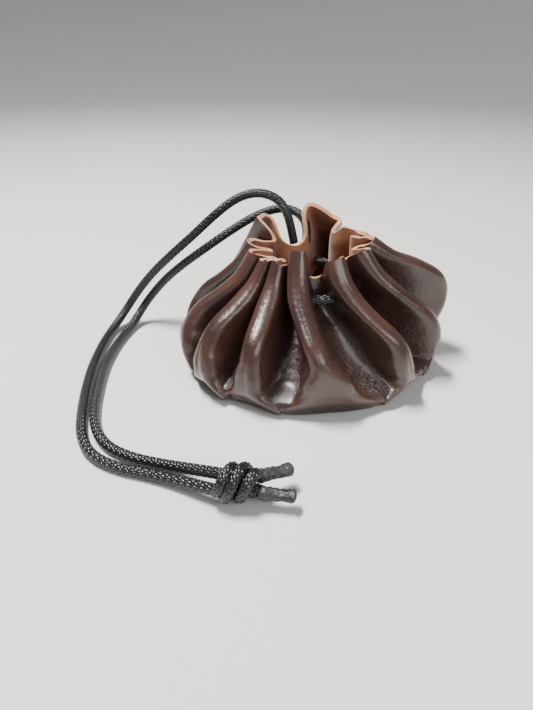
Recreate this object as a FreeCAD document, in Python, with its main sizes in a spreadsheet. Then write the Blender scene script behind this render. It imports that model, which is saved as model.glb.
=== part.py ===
"""Drawstring dice bag: one round piece of leather, gathered into pleats by one braided cord.

Frame: millimetres, +Z up, +X to the right, -Y towards the front.  The origin is the centre of
the footprint, on the surface that the bag stands on.  The leather is one body with hollow,
straight-sided pleats round a clear mouth.  The cord runs round the neck through holes in every
pleat, turns up out of the wide gap at the back, and its two tails end in one shared knot.
"""
import FreeCAD
import Part
import Sketcher
import math
import os

from FreeCAD import Placement, Rotation, Vector

doc = FreeCAD.newDocument("dice_bag")

# ---------------------------------------------------------------- driving dimensions
SIZES = {
    "bag_width": 103.0,          # across the pleats at the belly
    "foot_inset": 9.5,           # how far inside the belly the edge of the flat foot is
    "belly_rise": 10.0,          # height of the widest place
    "shoulder_rise": 27.0,       # height where the pleats turn in to the neck
    "shoulder_inset": 9.0,       # how far inside the belly the shoulder is
    "bag_height": 60.0,          # top of the rim at the back
    "rim_slope": 13.0,           # degrees that the rim falls towards the front
    "pleat_width": 8.0,          # across one pleat
    "pleat_count": 11.0,
    "back_gap": 55.0,            # degrees between the pleats each side of the cord's way out
    "back_gap_angle": 100.0,     # degrees from +X to the middle of that gap
    "mouth_radius": 15.0,        # free mouth inside the gathered pleats
    "rim_fold": 10.0,            # how far the pleats stand out from the mouth at the rim
    "leather_thickness": 1.5,
    "cord_diameter": 3.8,
    "cord_gap": 1.1,             # between the leather of the neck and the cord round it
    "cord_rise": 34.0,           # height of the cord's circle round the neck
    "hole_clearance": 0.3,       # between the cord and its punched holes
    "riser_bend": 3.8,           # radius where the cord turns up, out of its last holes
    "riser_gap": 0.5,            # from each riser to the middle of the gap at the back
    "riser_length": 4.2,         # upright run above that bend, where the free tails start
    "knot_diameter": 13.4,
    "knot_length": 13.0,
    "knot_grip": 1.5,            # how far the tails and the ends reach into the knot
    "knot_clearance": 0.2,       # between the knot and the surface
    "end_length": 11.0,          # each melted end, with the part inside the knot
}
sheet = doc.addObject("Spreadsheet::Sheet", "sizes")
for row, (alias, value) in enumerate(SIZES.items(), start=1):
    sheet.set("A%d" % row, alias)
    sheet.set("B%d" % row, str(value))
    sheet.setAlias("B%d" % row, alias)
doc.recompute()


def size(expression):
    """The value of an expression in the sheet's sizes, such as "sizes.bag_width / 2"."""
    return float(sheet.evalExpression(expression))


# Sizes that follow from the others
FOOT_RADIUS = "(sizes.bag_width / 2 - sizes.foot_inset)"
RIM_RADIUS = "(sizes.mouth_radius + sizes.rim_fold)"
CORD_CIRCLE = "(sizes.mouth_radius + sizes.leather_thickness + sizes.cord_gap + sizes.cord_diameter / 2)"


# ---------------------------------------------------------------- helpers for bodies
def new_body(label):
    body = doc.addObject("PartDesign::Body", label)
    body.Label = label
    return body


def origin_feature(body, role):
    return next(f for f in body.Origin.OriginFeatures if f.Role == role)


def new_sketch(body, name, plane, turn=0.0):
    """A sketch on one of the body's own planes, turned about the upright axis by so many degrees."""
    sketch = body.newObject("Sketcher::SketchObject", name)
    sketch.AttachmentSupport = [(origin_feature(body, plane), "")]
    sketch.MapMode = "FlatFace"
    sketch.AttachmentOffset = Placement(Vector(), Rotation(Vector(0, 1, 0), turn))
    return sketch


def draw_polygon(sketch, corners):
    """A closed outline whose corners are (across, up) expressions; "0" lies on the axis."""
    count = len(corners)
    at = [Vector(size(across), size(up), 0) for across, up in corners]
    for i in range(count):
        sketch.addGeometry(Part.LineSegment(at[i], at[(i + 1) % count]), False)
    for i in range(count):
        sketch.addConstraint(Sketcher.Constraint("Coincident", i, 2, (i + 1) % count, 1))
    for i, (across, up) in enumerate(corners):
        for kind, expression, axis in (("DistanceX", across, -2), ("DistanceY", up, -1)):
            if expression == "0":
                sketch.addConstraint(Sketcher.Constraint("PointOnObject", i, 1, axis))
                continue
            number = sketch.addConstraint(Sketcher.Constraint(kind, -1, 1, i, 1, size(expression)))
            sketch.setExpression("Constraints[%d]" % number, expression)


def draw_ring(sketch, across, up, radius):
    """A circle in a sketch, with its centre and its radius bound to the sizes."""
    centre = Vector(size(across), size(up), 0)
    sketch.addGeometry(Part.Circle(centre, Vector(0, 0, 1), size(radius)), False)
    for kind, expression in (("DistanceX", across), ("DistanceY", up)):
        number = sketch.addConstraint(Sketcher.Constraint(kind, -1, 1, 0, 3, size(expression)))
        sketch.setExpression("Constraints[%d]" % number, expression)
    number = sketch.addConstraint(Sketcher.Constraint("Radius", 0, size(radius)))
    sketch.setExpression("Constraints[%d]" % number, radius)


def upright(sketch):
    return (sketch, ["V_Axis"])


def turned(body, kind, name, sketch):
    """A full turn of a sketch about the upright axis: PartDesign::Revolution adds, Groove cuts."""
    made = body.newObject(kind, name)
    made.Profile = sketch
    made.ReferenceAxis = upright(sketch)
    made.Angle = 360.0
    return made


def repeated_pleats(body, name, original):
    """The original, repeated round the bag once for every pleat, with the gap at the back left free."""
    pattern = body.newObject("PartDesign::PolarPattern", name)
    pattern.Originals = [original]
    pattern.Axis = (origin_feature(body, "Z_Axis"), [""])
    pattern.setExpression("Angle", "(360 - sizes.back_gap) * 1 deg")
    pattern.setExpression("Occurrences", "sizes.pleat_count")
    body.Tip = pattern
    return pattern


# ---------------------------------------------------------------- leather
CROWN = (  # outside of a pleat, from the foot up: (radius, height)
    (FOOT_RADIUS, "0"),
    ("sizes.bag_width / 2 - 3", "sizes.belly_rise * 0.3"),
    ("sizes.bag_width / 2", "sizes.belly_rise"),
    ("sizes.bag_width / 2 - sizes.shoulder_inset * 0.3", "(sizes.belly_rise + sizes.shoulder_rise) / 2"),
    ("sizes.bag_width / 2 - sizes.shoulder_inset", "sizes.shoulder_rise"),
    ("(sizes.bag_width / 2 - sizes.shoulder_inset + %s) / 2" % RIM_RADIUS,
     "(sizes.shoulder_rise + sizes.cord_rise) / 2 + 3"),
    (RIM_RADIUS + " + 2", "sizes.cord_rise + 9"),
    (RIM_RADIUS, "sizes.bag_height + 1"),
)
VALLEY = (  # outside of the floor between two pleats, from the foot up
    (FOOT_RADIUS, "0"),
    (FOOT_RADIUS + " + 1", "3"),
    (FOOT_RADIUS + " - 2", "6"),
    ("sizes.mouth_radius + 9", "sizes.cord_rise - 10"),
    ("sizes.mouth_radius + sizes.leather_thickness", "sizes.cord_rise - 4"),
    ("sizes.mouth_radius + sizes.leather_thickness", "sizes.bag_height + 1"),
)


def inside(corners, wall):
    """The same outline moved in by the wall, along the mitre of each corner."""
    at = [Vector(size(across), size(up), 0) for across, up in corners]
    moved = []
    for i, (across, up) in enumerate(corners):
        into = at[i] - at[i - 1] if i else at[1] - at[0]
        away = at[i + 1] - at[i] if i + 1 < len(at) else at[i] - at[i - 1]
        normal = Vector(-into.y, into.x, 0).normalize() + Vector(-away.y, away.x, 0).normalize()
        mitre = normal * (2 / normal.dot(normal))
        moved.append(tuple("%s + (%.4f) * %s" % (place, shift, wall)
                           for place, shift in ((across, mitre.x), (up, mitre.y))))
    foot_across = "%s - %s" % (FOOT_RADIUS, wall)
    return [(foot_across, wall)] + moved[1:]


def with_axis(outline):
    """The outline closed down the upright axis."""
    return [("0", outline[0][1])] + list(outline) + [("0", outline[-1][1])]


def add_pleats(body, name, outline, width, kind):
    """Pleats all round: a plate of that width whose outline is turned about the axis in one place."""
    first = "sizes.back_gap_angle + sizes.back_gap / 2"
    sketch = new_sketch(body, name + "_outline", "XZ_Plane", size(first))
    draw_polygon(sketch, with_axis(outline))
    plate = body.newObject(kind, name + "_first")
    plate.Profile = sketch
    plate.SideType = "Symmetric"
    plate.setExpression("Length", width)
    return repeated_pleats(body, name, plate)


def make_leather():
    body = new_body("leather_bag")
    wall = "sizes.leather_thickness"
    core = new_sketch(body, "core_outline", "XZ_Plane")
    draw_polygon(core, with_axis(VALLEY))
    turned(body, "PartDesign::Revolution", "core", core)
    add_pleats(body, "pleats", CROWN, "sizes.pleat_width", "PartDesign::Pad")
    hollow = new_sketch(body, "hollow_outline", "XZ_Plane")
    draw_polygon(hollow, with_axis(inside(VALLEY, wall)))
    turned(body, "PartDesign::Groove", "hollow", hollow)
    hollow_width = "sizes.pleat_width - 2 * " + wall
    add_pleats(body, "pleat_hollows", inside(CROWN, wall), hollow_width, "PartDesign::Pocket")

    trim = new_sketch(body, "rim_trim_outline", "YZ_Plane")
    reach = "sizes.bag_width"
    low = "sizes.bag_height - (%s + %s) * tan(sizes.rim_slope * 1deg)" % (RIM_RADIUS, reach)
    high = "sizes.bag_height + (%s - %s) * tan(sizes.rim_slope * 1deg)" % (reach, RIM_RADIUS)
    draw_polygon(trim, [("-" + reach, low), (reach, high), (reach, "sizes.bag_height * 2"),
                        ("-" + reach, "sizes.bag_height * 2")])
    cut = body.newObject("PartDesign::Pocket", "rim_trim")
    cut.Profile = trim
    cut.Type = "ThroughAll"
    cut.SideType = "Symmetric"

    ring = new_sketch(body, "cord_holes_outline", "XZ_Plane")
    draw_ring(ring, CORD_CIRCLE, "sizes.cord_rise", "sizes.cord_diameter / 2 + sizes.hole_clearance")
    turned(body, "PartDesign::Groove", "cord_holes", ring)
    return body


# ---------------------------------------------------------------- cord
# The free tails' routes above their risers, chosen by hand, in millimetres.  They rise out of the
# back gap, arch over the bag's left shoulder and lie on the surface from there to the knot in
# front.  The last point of each is inside the knot's near face.
TAIL_OUTER = (
    (-7, 21.2, 53.7), (-10, 24.8, 58.4), (-16, 26.2, 61.7), (-23.2, 25.8, 62.3), (-30.4, 25.2, 59.3),
    (-38.4, 24.7, 52.8), (-48, 24.6, 43.6), (-58, 26.6, 34.2), (-67, 29.6, 24.6), (-74.4, 31.6, 15.6),
    (-79.8, 30.6, 8), (-83.6, 25.4, 3.2), (-85.6, 16, 1.9), (-86, 3, 1.9), (-85.5, -12, 1.9),
    (-83.6, -27.5, 1.9), (-81, -42, 1.9), (-77.8, -54.6, 1.9), (-72.3, -64.6, 1.9), (-63, -70.6, 1.9),
    (-51.5, -73.8, 1.9), (-40, -78.8, 3.2), (-29.5, -84.5, 5.5),
)
TAIL_INNER = (
    (-2.2, 22.3, 53), (-5.4, 26, 56.2), (-10.8, 29, 57), (-17, 30.6, 55.4), (-24, 30.6, 51.8),
    (-32.5, 29, 46.2), (-42, 28, 39), (-52, 29, 30.6), (-61.5, 31.6, 21.4), (-68.8, 33.2, 13),
    (-73.6, 31.2, 6.8), (-76.4, 26, 3), (-78.6, 17, 1.9), (-80.4, 4.4, 1.9), (-80.8, -11, 1.9),
    (-79.2, -26.5, 1.9), (-77.2, -39.8, 1.9), (-74, -51.2, 1.9), (-68, -60.6, 1.9), (-59, -66.2, 1.9),
    (-48.5, -69.8, 2.3), (-38.3, -74.7, 4.8), (-29.5, -80, 7.8),
)
KNOT_ENTRY = Vector(-29.5, -82.5, 0)  # below the middle of the tails' last points
FIRST_RUN = 5.7      # of each tail, straight up from its riser
ARC_SHARE = 0.45     # of the shorter run beside a corner, taken up by the corner's arc
# Each melted end: how far to the back and up from the middle of the knot's far face it starts,
# in cord diameters, and the way it points.
ENDS = {
    "cord_end_back": (0.55, 0.13, Vector(1, 0.42, -0.18)),
    "cord_end_front": (-0.55, -0.4, Vector(1, -0.12, -0.12)),
}


def unit(vector):
    return Vector(vector).normalize()


def rounded_route(points):
    """Straight runs joined by tangent arcs, as (wire, arc radii)."""
    edges, radii = [], []
    start = points[0]
    for before, corner, after in zip(points, points[1:], points[2:]):
        into, away = unit(corner - before), unit(after - corner)
        reach = ARC_SHARE * min((corner - before).Length, (after - corner).Length)
        turn = into.getAngle(away)
        bend_in, bend_out = corner - into * reach, corner + away * reach
        radius = reach / math.tan(turn / 2)
        inward = unit(away - into)
        middle = corner + inward * (radius / math.cos(turn / 2) - radius)
        edges.append(Part.LineSegment(start, bend_in).toShape())
        edges.append(Part.Arc(bend_in, middle, bend_out).toShape())
        radii.append(radius)
        start = bend_out
    edges.append(Part.LineSegment(start, points[-1]).toShape())
    return Part.Wire(edges), radii


def tube(path, diameter):
    """A round cord swept along a path."""
    first = path.Edges[0]
    tangent = first.tangentAt(first.FirstParameter)
    circle = Part.Circle(first.valueAt(first.FirstParameter), tangent, diameter / 2)
    solid = path.makePipeShell([Part.Wire([circle.toShape()])], True, False)
    wanted = math.pi * diameter ** 2 / 4 * path.Length
    if abs(solid.Volume / wanted - 1) > 0.01:
        raise RuntimeError("a cord's volume is %.1f and should be %.1f" % (solid.Volume, wanted))
    return solid


def feature(label, shape):
    """A document object that holds a shape made with Part's own functions."""
    made = doc.addObject("Part::Feature", label)
    made.Label = label
    made.Shape = shape
    made.Placement = Placement()
    return made


def direction(degrees):
    angle = math.radians(degrees)
    return Vector(math.cos(angle), math.sin(angle), 0)


def riser(sense):
    """One end of the held cord, sense -1 or 1 about the back gap: (on circle, mid bend, bend top, top)."""
    up = Vector(0, 0, 1)
    bend = size("sizes.riser_bend")
    circle = size(CORD_CIRCLE)
    beside = size("sizes.cord_diameter / 2 + sizes.riser_gap") + bend
    degrees = size("sizes.back_gap_angle") - sense * math.degrees(beside / circle)
    on_circle = direction(degrees) * circle + up * size("sizes.cord_rise")
    along = direction(degrees + 90) * sense
    middle = on_circle + along * (bend * math.sin(math.pi / 4)) + up * (bend * (1 - math.cos(math.pi / 4)))
    bend_top = on_circle + along * bend + up * bend
    return on_circle, middle, bend_top, bend_top + up * size("sizes.riser_length")


def make_neck_cord():
    """The held part of the cord: up one riser, round the neck through the pleats, and up the other."""
    first, last = riser(-1), riser(1)
    far_side = direction(size("sizes.back_gap_angle") + 180) * size(CORD_CIRCLE)
    far_side.z = size("sizes.cord_rise")
    path = Part.Wire([
        Part.LineSegment(first[3], first[2]).toShape(),
        Part.Arc(first[2], first[1], first[0]).toShape(),
        Part.Arc(first[0], far_side, last[0]).toShape(),
        Part.Arc(last[0], last[1], last[2]).toShape(),
        Part.LineSegment(last[2], last[3]).toShape(),
    ])
    return feature("neck_cord", tube(path, size("sizes.cord_diameter"))), first[3], last[3]


def make_tail(label, start, points):
    """One free tail, from the top of its riser into the knot."""
    route = [start, start + Vector(0, 0, FIRST_RUN)] + [Vector(*point) for point in points]
    path, radii = rounded_route(route)
    print("%s: length %.1f, arc radii %s" % (label, path.Length, " ".join("%.1f" % r for r in radii)))
    return feature(label, tube(path, size("sizes.cord_diameter")))


def knot_middle():
    """Middle of the knot, which lies just clear of the surface."""
    return KNOT_ENTRY + Vector(size("sizes.knot_length / 2 - sizes.knot_grip"), 0,
                               size("sizes.knot_diameter / 2 + sizes.knot_clearance"))


def make_knot():
    """The shared overhand knot as one barrel, turned about its own length."""
    body = new_body("tail_knot")
    sketch = new_sketch(body, "barrel_outline", "XZ_Plane")
    half, wide = "sizes.knot_length / 2", "sizes.knot_diameter / 2"
    draw_polygon(sketch, [("0", "-" + half), (wide + " * 0.7", "-" + half), (wide, "-%s * 0.5" % half),
                          (wide, half + " * 0.5"), (wide + " * 0.7", half), ("0", half)])
    turned(body, "PartDesign::Revolution", "barrel", sketch)
    body.Placement = Placement(knot_middle(), Rotation(Vector(0, 0, 1), Vector(1, 0, 0)))
    return body


def make_end(label):
    """One short melted end that sticks out of the knot."""
    back, up, way = ENDS[label]
    body = new_body(label)
    sketch = new_sketch(body, label + "_outline", "XZ_Plane")
    half = "sizes.cord_diameter / 2"
    draw_polygon(sketch, [("0", "0"), (half, "0"), (half, "sizes.end_length - 0.8"),
                          (half + " - 0.8", "sizes.end_length"), ("0", "sizes.end_length")])
    turned(body, "PartDesign::Revolution", label + "_rod", sketch)
    diameter = size("sizes.cord_diameter")
    inset = size("sizes.knot_length / 2 - sizes.knot_grip")
    at = knot_middle() + Vector(inset, back * diameter, up * diameter)
    body.Placement = Placement(at, Rotation(Vector(0, 0, 1), way))
    return body


# ---------------------------------------------------------------- build, check and write
def check_document(parts):
    for o in doc.Objects:
        if "Invalid" in o.State or "Error" in o.State:
            raise RuntimeError("%s failed: %s" % (o.Name, o.State))
    for part in parts:
        shape = part.Shape
        if shape.isNull() or not shape.isValid() or len(shape.Solids) != 1:
            raise RuntimeError("%s isn't one valid solid" % part.Label)
        box = shape.optimalBoundingBox(False)
        print("%-16s volume %8.0f  x %.1f..%.1f  y %.1f..%.1f  z %.1f..%.1f" % (
            part.Label, shape.Volume, box.XMin, box.XMax, box.YMin, box.YMax, box.ZMin, box.ZMax))


leather = make_leather()
neck_cord, outer_start, inner_start = make_neck_cord()
parts = [
    leather,
    neck_cord,
    make_tail("cord_tail_outer", outer_start, TAIL_OUTER),
    make_tail("cord_tail_inner", inner_start, TAIL_INNER),
    make_knot(),
] + [make_end(label) for label in ENDS]
doc.recompute()
check_document(parts)
steps = [leather.getObject(name) for name in ("pleats", "hollow", "pleat_hollows", "rim_trim", "cord_holes")]
for before, after in zip(steps, steps[1:]):
    if after.Shape.Volume >= before.Shape.Volume:
        raise RuntimeError("%s cut nothing" % after.Name)
os.makedirs("parts", exist_ok=True)
for part in parts:
    part.Shape.exportStep("parts/%s.step" % part.Label)
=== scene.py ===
"""Drawstring dice bag: one round piece of leather gathered into pleats, and its braided drawcord.

Everything is in metres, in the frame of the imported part: +Z up, -Y towards the front, and the
origin at the centre of the footprint. Sizes in millimetres are multiplied by MM.
"""

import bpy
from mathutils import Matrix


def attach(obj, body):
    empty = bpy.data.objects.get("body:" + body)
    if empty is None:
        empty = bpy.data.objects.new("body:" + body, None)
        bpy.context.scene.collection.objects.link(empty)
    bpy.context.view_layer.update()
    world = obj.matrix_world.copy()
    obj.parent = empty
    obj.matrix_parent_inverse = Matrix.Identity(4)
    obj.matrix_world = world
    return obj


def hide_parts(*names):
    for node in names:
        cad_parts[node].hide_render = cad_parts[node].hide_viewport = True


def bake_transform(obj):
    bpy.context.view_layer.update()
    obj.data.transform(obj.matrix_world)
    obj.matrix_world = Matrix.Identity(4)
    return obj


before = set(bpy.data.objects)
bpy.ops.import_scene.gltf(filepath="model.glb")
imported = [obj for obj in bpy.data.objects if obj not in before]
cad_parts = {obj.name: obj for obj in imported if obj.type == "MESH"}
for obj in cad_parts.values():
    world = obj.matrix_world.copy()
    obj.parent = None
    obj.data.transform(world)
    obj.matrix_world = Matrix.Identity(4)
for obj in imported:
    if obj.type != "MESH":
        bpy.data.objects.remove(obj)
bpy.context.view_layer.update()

import math

import bmesh
import bpy
import numpy as np
from mathutils import Vector, noise

MM = 0.001


# ---------------------------------------------------------------- small helpers
def link(name, data):
    """A new object in the scene that holds this data."""
    made = bpy.data.objects.new(name, data)
    bpy.context.scene.collection.objects.link(made)
    return made


def mesh_object(name, bm, materials):
    """A finished bmesh as a smooth-shaded object with these materials."""
    mesh = bpy.data.meshes.new(name)
    bm.to_mesh(mesh)
    bm.free()
    for material in materials:
        mesh.materials.append(material)
    mesh.polygons.foreach_set("use_smooth", [True] * len(mesh.polygons))
    return link(name, mesh)


def unit(v):
    """A vector, or an array of them, at length one."""
    return v / np.maximum(np.linalg.norm(v, axis=-1, keepdims=True), 1e-12)


# ---------------------------------------------------------------- camera, floor and light
FOCAL_LENGTH = 28.4        # on a frame 36 mm wide
CAMERA_DISTANCE = 0.226
CAMERA_ELEVATION = math.radians(30)
FLOOR_SIZE = 3.2           # half its side
FLAT_REACH = 1.0           # the floor is flat this far out, then it curves up
FLOOR_RISE = 0.6           # metres up for each square metre past that


def make_camera():
    """Front view from thirty degrees above, close to the bag."""
    data = bpy.data.cameras.new("camera")
    camera = link("camera", data)
    data.sensor_width = 36.0
    data.lens = FOCAL_LENGTH
    target = Vector((-0.017, -0.0045, 0.003))
    back = Vector((0, -math.cos(CAMERA_ELEVATION), math.sin(CAMERA_ELEVATION)))
    camera.location = target + back * CAMERA_DISTANCE
    camera.rotation_euler = (-back).to_track_quat("-Z", "Y").to_euler()
    data.clip_start = 0.005
    bpy.context.scene.camera = camera


def make_floor():
    """A flat floor that curves up all round, far from the bag."""
    bm = bmesh.new()
    bmesh.ops.create_grid(bm, x_segments=96, y_segments=96, size=FLOOR_SIZE)
    for vert in bm.verts:
        out = max(vert.co.xy.length - FLAT_REACH, 0.0)
        vert.co.z = FLOOR_RISE * out * out
    floor = mesh_object("floor", bm, [plain_material("floor_paint", (0.72, 0.71, 0.69), 0.8)])


def area_light(name, place, size, watts, colour=(1, 1, 1)):
    """A rectangular lamp that points at the bag."""
    aim = Vector((0, 0, 0.03))
    data = bpy.data.lights.new(name, "AREA")
    data.shape = "RECTANGLE"
    data.size, data.size_y = size
    data.energy = watts
    data.color = colour
    lamp = link(name, data)
    lamp.location = place
    lamp.rotation_euler = (aim - Vector(place)).to_track_quat("-Z", "Y").to_euler()


def make_lights():
    """A pale surround, a small bright window high at the left and a weak lamp in front."""
    world = bpy.data.worlds.new("studio")
    bpy.context.scene.world = world
    world.use_nodes = True
    background = world.node_tree.nodes["Background"]
    background.inputs["Color"].default_value = (0.9, 0.93, 1.0, 1)
    background.inputs["Strength"].default_value = 0.30
    area_light("window", (-0.25, 0.05, 0.75), (0.30, 0.10), 16, (1.0, 0.97, 0.93))
    area_light("front_fill", (0.35, -0.55, 0.45), (0.5, 0.3), 3)


# ---------------------------------------------------------------- materials
def node_material(name):
    """A new material, as (material, node tree, main shader)."""
    material = bpy.data.materials.new(name)
    material.use_nodes = True
    tree = material.node_tree
    return material, tree, tree.nodes["Principled BSDF"]


def plain_material(name, colour, roughness):
    """One colour with no texture, for the floor."""
    material, _, shader = node_material(name)
    shader.inputs["Base Color"].default_value = (*colour, 1)
    shader.inputs["Roughness"].default_value = roughness
    return material


def textured(name, tint_a, tint_b, tint_scale, roughness, grain_scale, grain_height):
    """A material of two mixed colours with a fine bump, as (material, tree, shader, colour ramp, bump)."""
    material, tree, shader = node_material(name)
    place = tree.nodes.new("ShaderNodeTexCoord")
    blotches = tree.nodes.new("ShaderNodeTexNoise")
    blotches.inputs["Scale"].default_value = tint_scale
    blotches.inputs["Detail"].default_value = 5
    ramp = tree.nodes.new("ShaderNodeValToRGB")
    ramp.color_ramp.elements[0].color = (*tint_a, 1)
    ramp.color_ramp.elements[0].position = 0.3
    ramp.color_ramp.elements[1].color = (*tint_b, 1)
    ramp.color_ramp.elements[1].position = 0.7
    grain = tree.nodes.new("ShaderNodeTexNoise")
    grain.inputs["Scale"].default_value = grain_scale
    grain.inputs["Detail"].default_value = 4
    bump = tree.nodes.new("ShaderNodeBump")
    bump.inputs["Distance"].default_value = grain_height
    bump.inputs["Strength"].default_value = 1.0
    for node in (blotches, grain):
        tree.links.new(place.outputs["Object"], node.inputs["Vector"])
    tree.links.new(blotches.outputs["Fac"], ramp.inputs["Fac"])
    tree.links.new(ramp.outputs["Color"], shader.inputs["Base Color"])
    tree.links.new(grain.outputs["Fac"], bump.inputs["Height"])
    tree.links.new(bump.outputs["Normal"], shader.inputs["Normal"])
    shader.inputs["Roughness"].default_value = roughness
    return material, tree, shader, ramp, bump


def math_node(tree, operation, first, second, clamp=False):
    """The output of a math node on two sockets or numbers."""
    node = tree.nodes.new("ShaderNodeMath")
    node.operation = operation
    node.use_clamp = clamp
    for socket, value in zip(node.inputs, (first, second)):
        if isinstance(value, (int, float)):
            socket.default_value = value
        else:
            tree.links.new(value, socket)
    return node.outputs[0]


# Painted shade: the near-black colour mixed into the folds of the grain leather
FOLD_SHADE_COLOUR = (0.016, 0.008, 0.008)
PEBBLE_SCALE, PEBBLE_HEIGHT = 620, 0.00016       # cells in a metre, and metres
CREASE_SCALE, CREASE_HEIGHT = 330, 0.0011
# Creases are full below 9 mm and gone above 29 mm: a line in height, as (slope for a metre, start)
CREASE_FADE = (-50, 1.45)


def grain_leather():
    """Dark polished grain: brown on the ridges, with painted shade that makes it near black in the folds,
    and crinkled low in them.
    """
    material, tree, shader, ramp, bump = textured(
        "brown_grain_leather", (0.025, 0.011, 0.0095), (0.064, 0.028, 0.021), 70, 0.3, 1500, 0.00009)
    nodes, links = tree.nodes, tree.links
    raised = nodes.new("ShaderNodeAttribute")
    raised.attribute_name = "raised"
    # Painted shade: where the leather sinks into a fold, its colour is mixed most of the way to the
    # near-black fold shade
    shade = nodes.new("ShaderNodeMix")
    shade.data_type = "RGBA"
    shade.inputs[6].default_value = (*FOLD_SHADE_COLOUR, 1)
    links.new(ramp.outputs["Color"], shade.inputs[7])
    links.new(math_node(tree, "ADD", raised.outputs["Fac"], 0.25, clamp=True), shade.inputs[0])
    links.new(shade.outputs[2], shader.inputs["Base Color"])

    place = next(node for node in nodes if node.type == "TEX_COORD")
    pebbles = nodes.new("ShaderNodeTexVoronoi")
    pebbles.feature = "SMOOTH_F1"
    pebbles.inputs["Scale"].default_value = PEBBLE_SCALE
    creases = nodes.new("ShaderNodeTexNoise")
    creases.inputs["Scale"].default_value = CREASE_SCALE
    creases.inputs["Detail"].default_value = 6
    creases.inputs["Roughness"].default_value = 0.65
    for node in (pebbles, creases):
        links.new(place.outputs["Object"], node.inputs["Vector"])
    split = nodes.new("ShaderNodeSeparateXYZ")
    links.new(place.outputs["Object"], split.inputs[0])
    low = math_node(tree, "MULTIPLY_ADD", split.outputs["Z"], CREASE_FADE[0])
    low.node.inputs[2].default_value = CREASE_FADE[1]
    sunk = math_node(tree, "SUBTRACT", 1.15, raised.outputs["Fac"], clamp=True)
    crinkled = math_node(tree, "MULTIPLY", sunk, low, clamp=True)
    wrinkle = math_node(tree, "MULTIPLY", creases.outputs["Fac"], crinkled)
    crease_bump = nodes.new("ShaderNodeBump")
    crease_bump.inputs["Distance"].default_value = CREASE_HEIGHT
    links.new(wrinkle, crease_bump.inputs["Height"])
    pebble_bump = nodes.new("ShaderNodeBump")
    pebble_bump.inputs["Distance"].default_value = PEBBLE_HEIGHT
    pebble_bump.inputs["Strength"].default_value = 0.7
    links.new(pebbles.outputs["Distance"], pebble_bump.inputs["Height"])
    links.new(crease_bump.outputs["Normal"], pebble_bump.inputs["Normal"])
    links.new(pebble_bump.outputs["Normal"], bump.inputs["Normal"])

    gloss = nodes.new("ShaderNodeMapRange")
    gloss.inputs["To Min"].default_value = 0.22
    gloss.inputs["To Max"].default_value = 0.42
    links.new(creases.outputs["Fac"], gloss.inputs["Value"])
    links.new(gloss.outputs[0], shader.inputs["Roughness"])
    shader.inputs["Coat Weight"].default_value = 0.35
    shader.inputs["Coat Roughness"].default_value = 0.25
    return material


def soft_fibre(name, dark, light, roughness, sheen, fibre_scale, fibre_height):
    """A fibrous material with a bloom of fine hairs: suede, raw edge, nylon."""
    material, _, shader, _, _ = textured(name, dark, light, 120, roughness, fibre_scale, fibre_height)
    shader.inputs["Sheen Weight"].default_value = sheen
    shader.inputs["Sheen Roughness"].default_value = 0.5
    return material


# ---------------------------------------------------------------- cord routes
# Millimetres, from where each tail leaves the neck to the knot
TAIL_OUTER = (
    (-5.87, 18.98, 42), (-7, 19.2, 47.4),
    (-8.6, 21.2, 53), (-11.4, 24.4, 57.4), (-16.8, 25.9, 60), (-23.4, 25.8, 60.3), (-30.4, 25.2, 57.6),
    (-38.4, 24.7, 51.4), (-48, 24.6, 42.6), (-58, 26.6, 33.6), (-67, 29.6, 24.6), (-74.4, 31.6, 15.6),
    (-79.8, 30.6, 8), (-83.6, 25.4, 3.2), (-85.6, 16, 1.9), (-86, 3, 1.9), (-85.5, -12, 1.9),
    (-83.6, -27.5, 1.9), (-81, -42, 1.9), (-77.8, -54.6, 1.9), (-72.3, -64.6, 1.9), (-63, -70.6, 1.9),
    (-51.5, -73.8, 1.9), (-40, -78.8, 3.2), (-29.5, -84.5, 5.5),
)
TAIL_INNER = (
    (-0.98, 19.84, 42), (-0.6, 20.6, 46.4),
    (-1.8, 23.2, 50.6), (-5.4, 26.6, 53), (-11, 29, 53.4), (-17.4, 30, 51.6), (-24.4, 29.8, 48.4),
    (-32.5, 28.6, 43.6), (-42, 27.8, 37.2), (-52, 29, 29.8), (-61.5, 31.6, 21.4), (-68.8, 33.2, 13),
    (-73.6, 31.2, 6.8), (-76.4, 26, 3), (-78.6, 17, 1.9), (-80.4, 4.4, 1.9), (-80.8, -11, 1.9),
    (-79.2, -26.5, 1.9), (-77.2, -39.8, 1.9), (-74, -51.2, 1.9), (-68, -60.6, 1.9), (-59, -66.2, 1.9),
    (-48.5, -69.8, 2.3), (-38.3, -74.7, 4.8), (-29.5, -80, 7.8),
)


def smooth_line(name, points):
    """The smooth line through a route: points of a NURBS spline whose control points are the route's."""
    curve = bpy.data.curves.new(name, "CURVE")
    curve.dimensions = "3D"
    curve.resolution_u = 24
    spline = curve.splines.new("NURBS")
    spline.points.add(len(points) - 1)
    for knot, point in zip(spline.points, points):
        knot.co = (*(c * MM for c in point), 1)
    spline.order_u = 3
    spline.use_endpoint_u = True
    holder = bpy.data.objects.new(name, curve)
    mesh = bpy.data.meshes.new_from_object(holder)
    line = np.array([v.co for v in mesh.vertices], float)
    bpy.data.objects.remove(holder)
    bpy.data.meshes.remove(mesh)
    bpy.data.curves.remove(curve)
    return line


def resampled(line, step):
    """The line again, with points a step apart."""
    along = np.concatenate([[0], np.cumsum(np.linalg.norm(np.diff(line, axis=0), axis=1))])
    at = np.linspace(0, along[-1], max(4, round(along[-1] / step) + 1))
    return np.stack([np.interp(at, along, line[:, k]) for k in range(3)], axis=1), at


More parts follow.
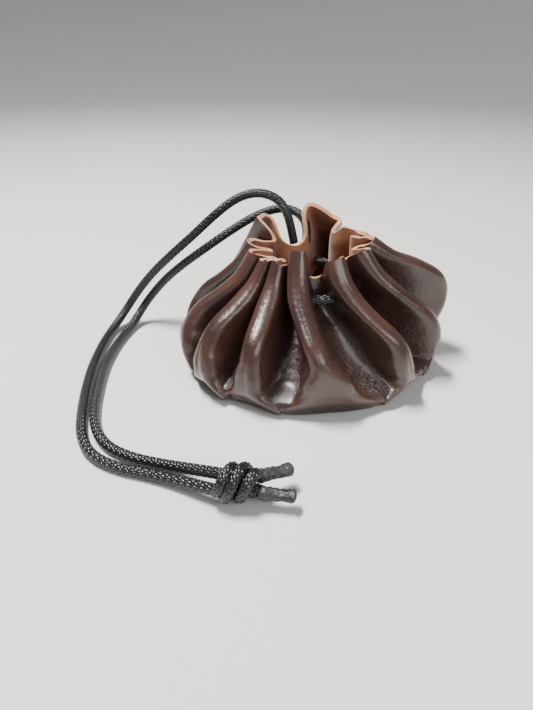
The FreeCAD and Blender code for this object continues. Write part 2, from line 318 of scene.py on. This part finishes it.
def carried_frames(line):
    """Tangent, normal and binormal at each point, the normal carried along without twisting."""
    tangent = unit(np.gradient(line, axis=0))
    normal = np.zeros_like(line)
    start = np.array([0.0, 0.0, 1.0]) if abs(tangent[0, 2]) < 0.9 else np.array([1.0, 0.0, 0.0])
    normal[0] = unit(start - tangent[0] * (start @ tangent[0]))
    for i in range(1, len(line)):
        turned = normal[i - 1] - tangent[i] * (normal[i - 1] @ tangent[i])
        normal[i] = unit(turned)
    return tangent, normal, np.cross(tangent, normal)


# ---------------------------------------------------------------- braided cord
CORD = 3.8 * MM            # diameter over the braid
CARRIERS = 8               # strands that wind each way
PITCH = 18.5 * MM          # length of one full turn of a strand
STRAND_WIDTH = 1.25 * MM
STRAND_THICK = 0.78 * MM
STRAND_LIFT = 0.22 * MM    # how far a strand rises and dips as it crosses the others
STRAND_SIDES = 6
CORE_SIDES = 12
STEPS_PER_TURN = 32


def tube_grid(rings):
    """Vertices and faces of a tube through rings of points, with its ends closed."""
    count, sides = rings.shape[:2]
    vertices = rings.reshape(-1, 3)
    index = np.arange(count * sides).reshape(count, sides)
    a, b = index[:-1], index[1:]
    faces = np.stack([a, np.roll(a, -1, 1), np.roll(b, -1, 1), b], axis=-1).reshape(-1, 4).tolist()
    faces += [index[0][::-1].tolist(), index[-1].tolist()]
    return vertices, faces


def braid_tubes(line):
    """The tubes of a round braid: strands that wind both ways, over and under, on a plain core."""
    line, along = resampled(line, PITCH / STEPS_PER_TURN)
    tangent, normal, side = carried_frames(line)
    turn = 2 * math.pi * along / PITCH
    middle = CORD / 2 - STRAND_THICK / 2 - STRAND_LIFT
    spin = np.arange(STRAND_SIDES) * 2 * math.pi / STRAND_SIDES
    tubes = []
    for way in (1, -1):
        for k in range(CARRIERS):
            angle = way * turn + 2 * math.pi * k / CARRIERS
            out = normal * np.cos(angle)[:, None] + side * np.sin(angle)[:, None]
            height = middle + way * STRAND_LIFT * np.cos(CARRIERS * turn)
            centre = line + out * height[:, None]
            run = unit(np.gradient(centre, axis=0))
            across = unit(np.cross(run, out))
            up = np.cross(across, run)
            tubes.append(tube_grid(
                centre[:, None] + across[:, None] * (np.cos(spin) * STRAND_WIDTH / 2)[None, :, None]
                + up[:, None] * (np.sin(spin) * STRAND_THICK / 2)[None, :, None]))
    spin = np.arange(CORE_SIDES) * 2 * math.pi / CORE_SIDES
    core = line[::2, None] + (middle - STRAND_LIFT) * (
        normal[::2, None] * np.cos(spin)[None, :, None] + side[::2, None] * np.sin(spin)[None, :, None])
    return tubes + [tube_grid(core)]


def braid(name, lines, material):
    """One piece of round braided cord along one line or several."""
    vertices, faces, count = [], [], 0
    for line in lines:
        for points, quads in braid_tubes(line):
            vertices.append(points)
            faces += [[i + count for i in quad] for quad in quads]
            count += len(points)
    mesh = bpy.data.meshes.new(name)
    mesh.from_pydata(np.concatenate(vertices).tolist(), [], faces)
    mesh.materials.append(material)
    bm = bmesh.new()
    bm.from_mesh(mesh)
    bmesh.ops.recalc_face_normals(bm, faces=bm.faces)
    bm.to_mesh(mesh)
    bm.free()
    mesh.polygons.foreach_set("use_smooth", [True] * len(mesh.polygons))
    return link(name, mesh)


# ---------------------------------------------------------------- knot and melted ends
KNOT = np.array([-24.5, -82.5, 6.9])       # middle of the knot
KNOT_WRAP = 4.75                           # from its middle to the centre of a wrapped strand
# Each strand: where it comes in, beside the middle, and the turn (degrees) that it comes in at
KNOT_STRANDS = ((2.45, 215), (2.65, 20))
KNOT_LEAN = 1.1                            # how far the wraps tilt along the knot
KNOT_CORE = 1.9                            # how far the strands through the middle are from it
# Along a strand: how far along the knot, how far from its middle, and degrees turned
KNOT_WAY = (
    (-5.0, 3.4, 40), (-4.3, 4.4, 85), (-3.2, KNOT_WRAP, 150), (-1.9, KNOT_WRAP, 215),
    (-0.6, KNOT_WRAP, 280), (0.8, KNOT_WRAP, 345), (2.2, 4.6, 410), (3.4, 3.9, 465),
    (4.2, 2.8, 510), (4.6, 2.0, 550),
)
# Each melted end: where it starts and which way it points
ENDS = {
    "cord_end_back": ((-19.5, -80.4, 7.4), (1, 0.42, -0.18)),
    "cord_end_front": ((-19.5, -84.6, 5.4), (1, -0.12, -0.12)),
}
END_LENGTH = 11.0
END_RADIUS = 2.15
TIP_START = 0.86           # share of an end's length where its tip starts to round off


def make_knot(material):
    """The knot: two strands wound side by side, round the two that pass through its middle."""
    lines = []
    for inward, first in KNOT_STRANDS:
        points = []
        for ahead, reach, turned in ((-6.2, inward, 0), *KNOT_WAY):
            angle = math.radians(first - turned)
            lean = KNOT_LEAN * math.cos(angle - 0.6) * (reach / KNOT_WRAP)
            points.append(KNOT + (ahead + lean, reach * math.cos(angle), reach * math.sin(angle)))
        lines.append(smooth_line("knot_strand", points))
        beside = (KNOT_CORE * math.cos(math.radians(first)), KNOT_CORE * math.sin(math.radians(first)))
        through_middle = [KNOT + (ahead, *beside) for ahead in (-6, -3, 0, 3, 5.5)]
        lines.append(smooth_line("knot_core", through_middle))
    return braid("tail_knot_braid", lines, material)


def make_melted_end(name, material):
    """A singed end: the braid closed up, a little flattened, lumpy and widened near its blunt tip."""
    start, way = ENDS[name]
    bm = bmesh.new()
    bmesh.ops.create_uvsphere(bm, u_segments=24, v_segments=30, radius=1)
    turn = Vector(way).to_track_quat("Z", "Y").to_matrix()
    for vertex in bm.verts:
        x, y, z = vertex.co
        along = (z + 1) / 2
        tip = max(0.0, (along - TIP_START) / 0.14)
        ring = math.sqrt(max(0.0, 1 - tip**4))
        waist = 0.12 * ease(along / 0.6)
        flare = 0.14 * ease((along - 0.6) / 0.3)
        ring *= min(1.0, along / 0.04)**0.5 * (1.0 - waist + flare)
        flat = math.hypot(x, y) or 1.0
        lump = 1 + 0.22 * noise.noise(Vector((x, y, along * 5)) * 2.2 + Vector(start))
        lump += 0.05 * math.sin(8 * math.atan2(y, x) + along * 16) * (1 - along)
        side = Vector((x / flat, y / flat * (1 - 0.25 * along), 0)) * END_RADIUS * ring * lump
        bend = 0.9 * along**2
        vertex.co = (Vector(start) + turn @ (side + Vector((0, bend, along * END_LENGTH)))) * MM
    return mesh_object(name + "_melted", bm, [material])


# ---------------------------------------------------------------- leather
THICK = 1.5                # millimetres, as are all the sizes of the leather below
FOOT = 42.0
WALL = 60.0                # leather from the edge of the foot to the rim
# Ridge and valley from the foot's edge up: (leather used, radius, height)
CROWN = ((0, 42, 0.75), (5, 46.6, 2.4), (13, 50.4, 9), (22, 49.6, 18), (31, 44.5, 26),
         (41, 35.5, 33.5), (51, 27.5, 41.5), (60, 22, 50))
VALLEY = ((0, 40, 5), (10, 37.5, 6.5), (19, 31, 12.5), (29, 24, 20.5),
          (39, 18, 28.5), (49, 15.6, 38), (60, 15.2, 47.5))
# One row a ridge: degrees from +X at the foot, half-way and at the rim, how full its belly is, how
# far its shoulder stands out, and radius, height and half the flat top at the rim.
RIDGES = (
    (14, 6, 358, 0.85, 7, 22, 50, 0.3),
    (42, 36, 22, 0.95, 5, 22.5, 49, 0.5),
    (76, 74, 75, 1, 4, 22, 57, 5.0),
    (132, 133, 147, 1, 1, 22.5, 55, 1.5),
    (164, 164, 168, 1, 0, 24, 48, 0.3),
    (190, 191, 196, 1, 0, 23.5, 47, 0.3),
    (216, 215, 216, 1, 0, 22.5, 46.5, 0.3),
    (240, 239, 231, 0.6, -1, 21.5, 47.5, 0.3),
    (277, 270, 250, 0.4, -1, 19.5, 51.5, 1.0),
    (319, 311, 291, 0.6, -1, 20, 49.5, 0.5),
    (350, 341, 327, 0.85, 1, 22, 50, 0.3),
)
# One row a valley, after the ridge of the same row: degrees from +X at the bottom of its scoop,
# how far up the wall that is, half its width there, how long the round bottom is, height at the rim.
VALLEYS = (
    (28, 9, 10, 9, 50),
    (58, 9, 11, 9, 53),
    (104, 9, 15, 11, 43),
    (148, 9, 9.5, 9, 47),
    (178, 9, 8.5, 9, 45.5),
    (205, 8.5, 8.5, 8, 45.5),
    (227, 9.5, 7.5, 9, 45.5),
    (254, 8.5, 11, 8, 44),
    (304, 8.5, 12.5, 8, 41),
    (337, 8.5, 13, 8, 46),
    (1, 9, 10, 8, 48),
)
# How much of a ridge's shoulder lift applies: (leather used, share)
SHOULDER = ((0, 0), (10, 0.3), (26, 1), (42, 0.9), (52, 0.4), (60, 0))
FOOT_RINGS = np.array([-40, -33, -25, -17, -10, -5, -2.2, -0.9])    # in from the edge of the foot
WALL_ROWS = 84
FOLD_IN = 5.0              # leather over which a scoop's bottom turns in to its full depth
SCOOP_WIDENS = (17, 24, 14)    # where up the wall the scoops open out, over how much, and how far
RIM_STARTS = 46.0          # the wavy cut shows from here up
SLUMP = 5.0                # how far the right-hand side of the tall loop hangs down
SMOOTHINGS, LOW_SMOOTHINGS = 3, 4      # passes over the whole wall, then over its low part only
LOW = 10.0                 # height of that low part
EDGE_WEAR = 0.3            # width of the worn edge of the rim
RIM_ANGLE = math.radians(78)
HOLLOW = 2.0               # deepest dip of the flat between two scoops
SWING_HALF = 34.0          # leather over which a ridge swings to its half-way angle
SWING_START = 26.0         # and where it starts to swing on to its angle at the rim
LATE = 30.0                # from here up, ridges and valleys take their own radius and height
CENTRING = 24.0            # leather over which a valley moves to half-way between its ridges
# Waves of the cut edge: (millimetres, waves round the bag, phase)
RIM_WAVES = ((0.4, 7, 1), (0.3, 19, 2), (0.18, 53, 0))
# The slumped part of the rim: (degrees from +X, width of the step) on each side
SLUMP_RIGHT, SLUMP_LEFT = (36, 14), (78, 15)
BROW = 3.0                 # radius of the rounded edge between a ridge and a valley
# Columns from the top of a ridge to a valley's middle
CROWN_COLUMNS, BROW_COLUMNS, SLOPE_COLUMNS = 4, 6, 9


def through(stations, at):
    """A smooth curve through rows of (place, values), read at other places."""
    rows = np.array(stations, float)
    x, y = rows[:, 0], rows[:, 1:]
    slope = np.gradient(y, x, axis=0)
    i = np.clip(np.searchsorted(x, at, side="right") - 1, 0, len(x) - 2)
    span = (x[i + 1] - x[i])[:, None]
    t = ((at - x[i])[:, None] / span).clip(0, 1)
    return ((2 * t**3 - 3 * t**2 + 1) * y[i] + (t**3 - 2 * t**2 + t) * span * slope[i]
            + (3 * t**2 - 2 * t**3) * y[i + 1] + (t**3 - t**2) * span * slope[i + 1])


def ease(x):
    """A smooth step from 0 to 1."""
    x = np.clip(x, 0, 1)
    return x * x * (3 - 2 * x)


def spoke(angle):
    """The unit direction at an angle round the bag."""
    return np.stack([np.cos(angle), np.sin(angle)], axis=-1)


def lesser(a, b):
    """The smaller of two, rounded off where they cross."""
    return 0.5 * (a + b - np.sqrt((a - b)**2 + 2.0))


def half_pleat(ridge, ridge_angle, flat_top, floor, floor_angle, half_width):
    """Columns of points from the top of a ridge to the middle of a valley, one row a level."""
    gap = floor_angle - ridge_angle
    way = np.sign(gap)
    room = np.abs(gap) * ridge[:, 0]
    scoop = lesser(half_width, room - flat_top)
    depth = ridge[:, 0] - floor[:, 0]
    brow_angle = floor_angle - way * scoop / ridge[:, 0]
    t = np.linspace(0, 1, CROWN_COLUMNS + 1)[None, :]
    hollow = np.minimum(HOLLOW, 0.2 * (room - scoop))[:, None] * (1 - t**2)**2
    crown = spoke(ridge_angle[:, None] + (brow_angle - ridge_angle)[:, None] * t)
    crown = crown * (ridge[:, :1] - hollow)[..., None]
    out_b, out_v = spoke(brow_angle), spoke(floor_angle)
    side_b = np.stack([-out_b[:, 1], out_b[:, 0]], -1) * way[:, None]
    side_v = np.stack([-out_v[:, 1], out_v[:, 0]], -1) * way[:, None]
    radius = np.minimum(BROW, np.minimum(0.45 * depth, 0.55 * scoop))[:, None]
    centre = out_b * (ridge[:, :1] - radius)
    turn = (math.pi / 2 * np.linspace(0, 1, BROW_COLUMNS + 1)[None, 1:])[..., None]
    brow = centre[:, None] + radius[..., None] * (
        out_b[:, None] * np.cos(turn) + side_b[:, None] * np.sin(turn))
    top, low = brow[:, -1], out_v * floor[:, :1]
    drop = 0.5 * np.maximum(depth[:, None] - radius, 0)
    reach = np.minimum(0.8 * scoop, 0.75 * np.abs(gap) * floor[:, 0])[:, None]
    t = np.linspace(0, 1, SLOPE_COLUMNS + 1)[None, 1:, None]
    slope = ((1 - t)**3 * top[:, None] + 3 * (1 - t)**2 * t * (top - out_b * drop)[:, None]
             + 3 * (1 - t) * t**2 * (low - side_v * reach)[:, None] + t**3 * low[:, None])
    flat = np.concatenate([crown, brow, slope], axis=1)
    sunk = (ridge[:, :1] - np.linalg.norm(flat, axis=-1)) / np.maximum(depth[:, None], 0.5)
    down = sunk.clip(0, 1)
    up = ridge[:, 1:2] + (floor[:, 1:2] - ridge[:, 1:2]) * down**1.4
    return np.concatenate([flat, up[..., None], (1 - down)[..., None]], axis=-1)


def swung(low, middle, high, s):
    """An angle in radians that goes from low through middle to high degrees on the way up."""
    first = (middle - low + 180) % 360 - 180
    second = (high - middle + 180) % 360 - 180
    below = first * ease(s / SWING_HALF)
    above = second * ease((s - SWING_START) / (WALL - SWING_START))
    return np.radians(low + below + above)


def wall_columns(s):
    """All the columns of the gathered wall, round the bag once, as rows by level."""
    count = len(RIDGES)
    shoulder = through(SHOULDER, s)[:, 0]
    late = ease((s - LATE) / (WALL - LATE))
    ridges, angles = [], []
    upper = ease((s - 12) / 26)
    for low, middle, high, belly, lift, rim_radius, rim_height, _ in RIDGES:
        ridge = through(CROWN, s)
        fullness = np.where(ridge[:, 0] > FOOT, belly + (1 - belly) * upper, 1)
        ridge[:, 0] = FOOT + (ridge[:, 0] - FOOT) * fullness
        ridge[:, 0] += lift * shoulder + (rim_radius - CROWN[-1][1]) * late
        ridge[:, 1] += lift * shoulder + (rim_height - CROWN[-1][2]) * late
        ridges.append(ridge)
        angles.append(swung(low, middle, high, s))
    from_here, over, by = SCOOP_WIDENS
    widening = by * ease((s - from_here) / over)
    columns = []
    for i, (bottom, start, half, length, rim_height) in enumerate(VALLEYS):
        j = (i + 1) % count
        gap = (angles[j] - angles[i]) % (2 * math.pi)
        offset = (math.radians(bottom) - angles[i][0] + math.pi) % (2 * math.pi) - math.pi
        share = offset / gap[0]
        share = share + (0.5 - share) * ease((s - start) / CENTRING)
        middle = angles[i] + gap * share
        x = ((s - start) / length).clip(0, 1)
        width = half * np.sqrt(1 - (1 - x)**2) + widening + 0.05
        folded = ease((s - start + 0.5) / FOLD_IN)
        valley = through(VALLEY, s)
        valley[:, 1] += (rim_height - VALLEY[-1][2]) * late
        edge = (ridges[i] + ridges[j]) / 2
        floor = edge + (valley - edge) * folded[:, None]
        tops = [0.3 + (RIDGES[k][7] - 0.3) * late for k in (i, j)]
        rise = half_pleat(ridges[i], angles[i], tops[0], floor, middle, width)
        fall = half_pleat(ridges[j], angles[i] + gap, tops[1], floor, middle, width)
        columns.append(rise[:, :-1])
        columns.append(fall[:, :0:-1])
    return np.concatenate(columns, axis=1)


def make_leather(grain, suede, edge):
    """The whole disc: flat foot, gathered wall and cut rim, as one sheet with its thickness."""
    s = np.concatenate([FOOT_RINGS, np.linspace(0, WALL, WALL_ROWS)])
    wall = wall_columns(np.maximum(s, 0))
    for row, place in enumerate(FOOT_RINGS):
        wall[row, :, :2] = wall[row, :, :2] * (FOOT + place) / FOOT
        wall[row, :, 2] = THICK / 2
    rows, columns = wall.shape[:2]
    around = np.linspace(0, 2 * math.pi, columns, endpoint=False)
    cut = sum(height * np.sin(waves * around + phase) for height, waves, phase in RIM_WAVES)
    turned = np.degrees(np.arctan2(wall[-1, :, 1], wall[-1, :, 0]))
    slump = SLUMP * ease((SLUMP_LEFT[0] - turned) / SLUMP_LEFT[1])
    slump *= ease((turned - SLUMP_RIGHT[0]) / SLUMP_RIGHT[1])
    wall[:, :, 2] += ease((s - RIM_STARTS) / (WALL - RIM_STARTS))[:, None] * (cut - slump)
    bm = bmesh.new()
    bmesh.ops.create_grid(bm, x_segments=columns, y_segments=rows - 1, size=1)
    # How raised each point is, 1 on a ridge and 0 in a valley: it masks the painted shade in the folds and
    # the crinkles low in them
    raised = bm.verts.layers.float.new("raised")
    order = sorted(bm.verts, key=lambda v: (round(v.co.y, 5), round(v.co.x, 5)))
    for n, vertex in enumerate(order):
        row, column = divmod(n, columns + 1)
        vertex.co = Vector(wall[row, column % columns, :3]) * MM
        vertex[raised] = wall[row, column % columns, 3]
    bmesh.ops.remove_doubles(bm, verts=bm.verts, dist=1e-7)
    inner = [e for e in bm.edges if e.is_boundary and e.verts[0].co.xy.length < 5 * MM]
    sheet = list(bm.faces)
    filled = bmesh.ops.holes_fill(bm, edges=inner, sides=0)["faces"]
    bm.normal_update()
    foot_face = min(sheet, key=lambda f: f.calc_center_median().length)
    if foot_face.normal.z > 0:
        bmesh.ops.reverse_faces(bm, faces=sheet)
    bmesh.ops.reverse_faces(bm, faces=[f for f in filled if f.normal.z > 0])
    for top in [WALL] * SMOOTHINGS + [LOW] * LOW_SMOOTHINGS:
        below = (top + THICK) * MM
        off_foot = [v for v in bm.verts if v.co.xy.length > FOOT * MM or v.co.z > 2 * THICK * MM]
        walls = [v for v in off_foot if v.co.z < below]
        bmesh.ops.smooth_vert(bm, verts=walls, factor=0.5, use_axis_x=True, use_axis_y=True, use_axis_z=True)
    leather = mesh_object("leather_bag_skin", bm, [grain, suede, edge])
    solid = leather.modifiers.new("thickness", "SOLIDIFY")
    solid.thickness = THICK * MM
    solid.offset = 0
    solid.material_offset = 1
    solid.material_offset_rim = 2
    rim = leather.modifiers.new("worn_edge", "BEVEL")
    rim.width = EDGE_WEAR * MM
    rim.segments = 2
    rim.limit_method = "ANGLE"
    rim.angle_limit = RIM_ANGLE
    rim.material = 2
    return leather


# ---------------------------------------------------------------- the object
NECK_RADIUS, NECK_HEIGHT, NECK_POINTS = 19.5, 34.0, 120
NECK_START, NECK_END = 118, 82 + 360       # degrees from +X
OUTER_LENGTH = 0.2565
INNER_LENGTH = 0.243

make_camera()
make_floor()
make_lights()
grain = grain_leather()
suede = soft_fibre("tan_suede", (0.20, 0.075, 0.040), (0.48, 0.22, 0.115), 0.95, 0.35, 2600, 0.00022)
edge = soft_fibre("raw_cut_edge", (0.34, 0.15, 0.075), (0.64, 0.34, 0.18), 0.95, 0.25, 2200, 0.0003)
nylon = soft_fibre(
    "black_nylon_braid", (0.004, 0.004, 0.005), (0.010, 0.010, 0.012), 0.26, 0.03, 5200, 0.00003)
melted = soft_fibre("melted_nylon", (0.016, 0.015, 0.016), (0.045, 0.041, 0.044), 0.42, 0.0, 900, 0.0003)

leather = make_leather(grain, suede, edge)
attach(leather, "root")
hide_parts("leather_bag")

angles = np.radians(np.linspace(NECK_START, NECK_END, NECK_POINTS))
levels = np.full(NECK_POINTS, NECK_HEIGHT)
ring = np.stack([NECK_RADIUS * np.cos(angles), NECK_RADIUS * np.sin(angles), levels], 1) * MM
neck = braid("neck_cord_braid", [ring], nylon)
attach(neck, "root")
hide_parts("neck_cord")

knot = make_knot(nylon)
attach(knot, "drawcord")
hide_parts("tail_knot")
ends = []
for name in ENDS:
    end = make_melted_end(name, melted)
    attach(end, "drawcord")
    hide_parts(name)
    ends.append(end)

for name, route, length, pieces in (("outer", TAIL_OUTER, OUTER_LENGTH, [knot, *ends]),
                                    ("inner", TAIL_INNER, INNER_LENGTH, [])):
    line = smooth_line("tail_" + name, route)
    tail = braid(f"tail_{name}_braid", [line], nylon)
    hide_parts("cord_tail_" + name)
    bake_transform(tail)
